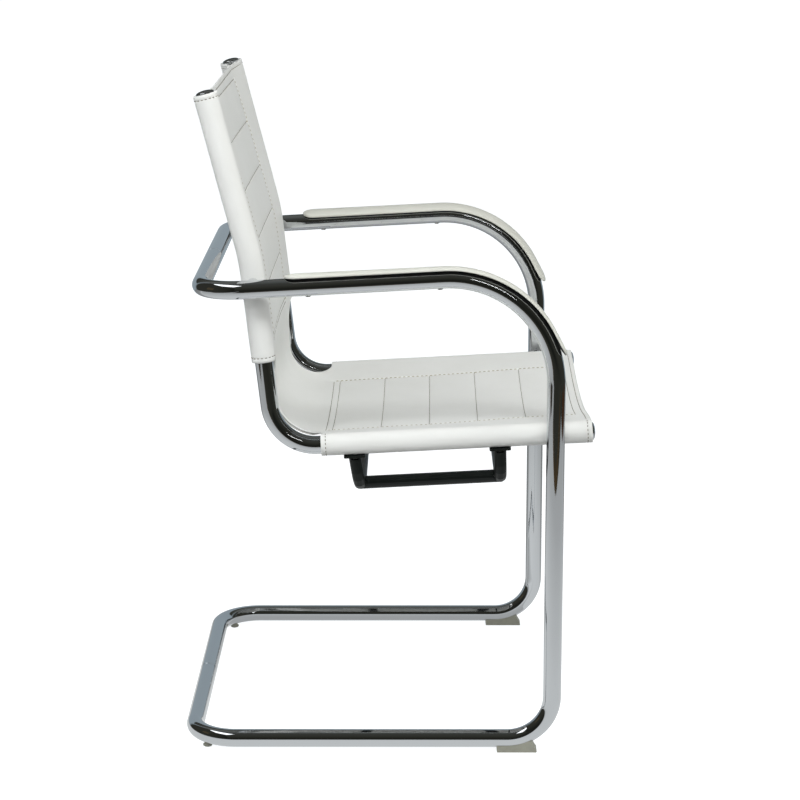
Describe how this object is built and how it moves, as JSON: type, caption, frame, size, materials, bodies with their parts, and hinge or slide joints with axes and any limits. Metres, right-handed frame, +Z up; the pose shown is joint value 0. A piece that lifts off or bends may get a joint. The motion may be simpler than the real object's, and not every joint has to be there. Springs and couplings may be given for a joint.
{
  "type": "sled base visitor chair",
  "caption": "Cantilever visitor chair with a continuous chromed tube frame and arms, a slung white leather seat and back, strip arm pads and a black under-seat brace.",
  "frame": {"origin": "centre of the overall box, at floor level under the glides", "axes": "+Z up; the chair's front faces -Y; +X is the sitter's left"},
  "size_m": [0.5624, 0.5708, 0.9149],
  "materials": {
    "chrome": "mirror-polished chrome plate on steel tube",
    "leather": "smooth white leather, low sheen, taupe stitching",
    "black_paint": "satin black powder coat on steel",
    "glide_plastic": "matt grey-beige plastic",
    "zinc": "zinc-plated steel",
    "brass": "yellow-passivated fixings",
    "pad_core": "moulded stiffening strip"
  },
  "bodies": {
    "root": {"frame_half_right": "chrome", "frame_half_left": "chrome", "side_tube_right": "chrome", "side_tube_left": "chrome", "back_cap_right": "chrome", "back_cap_left": "chrome", "seat_cap_right": "chrome", "seat_cap_left": "chrome", "leg_spacer_right": "chrome", "leg_spacer_left": "chrome", "arm_spacer_right": "chrome", "arm_spacer_left": "chrome", "sling_panel": "leather", "back_sleeve_right": "leather", "back_sleeve_left": "leather", "seat_sleeve_right": "leather", "seat_sleeve_left": "leather", "arm_pad_right": "leather", "arm_pad_left": "leather", "brace_bar_front": "black_paint", "brace_bar_rear": "black_paint", "brace_tie_right": "black_paint", "brace_tie_left": "black_paint", "brace_flange_front_right": "black_paint", "brace_flange_front_left": "black_paint", "brace_flange_rear_right": "black_paint", "brace_flange_rear_left": "black_paint", "front_glide_right": "glide_plastic", "front_glide_left": "glide_plastic", "rear_glide_right": "glide_plastic", "rear_glide_left": "glide_plastic", "lower_splice": "zinc", "upper_splice": "zinc", "leg_bolt_right": "zinc", "leg_bolt_left": "zinc", "arm_bolt_right": "zinc", "arm_bolt_left": "zinc", "brace_bolt_front_right": "zinc", "brace_bolt_front_left": "zinc", "brace_bolt_rear_right": "zinc", "brace_bolt_rear_left": "zinc", "leg_insert_right": "brass", "leg_insert_left": "brass", "arm_insert_right": "brass", "arm_insert_left": "brass", "arm_pad_screw_front_right": "brass", "arm_pad_screw_front_left": "brass", "arm_pad_screw_rear_right": "brass", "arm_pad_screw_rear_left": "brass", "arm_pad_core_right": "pad_core", "arm_pad_core_left": "pad_core"}
  },
  "joints": []
}
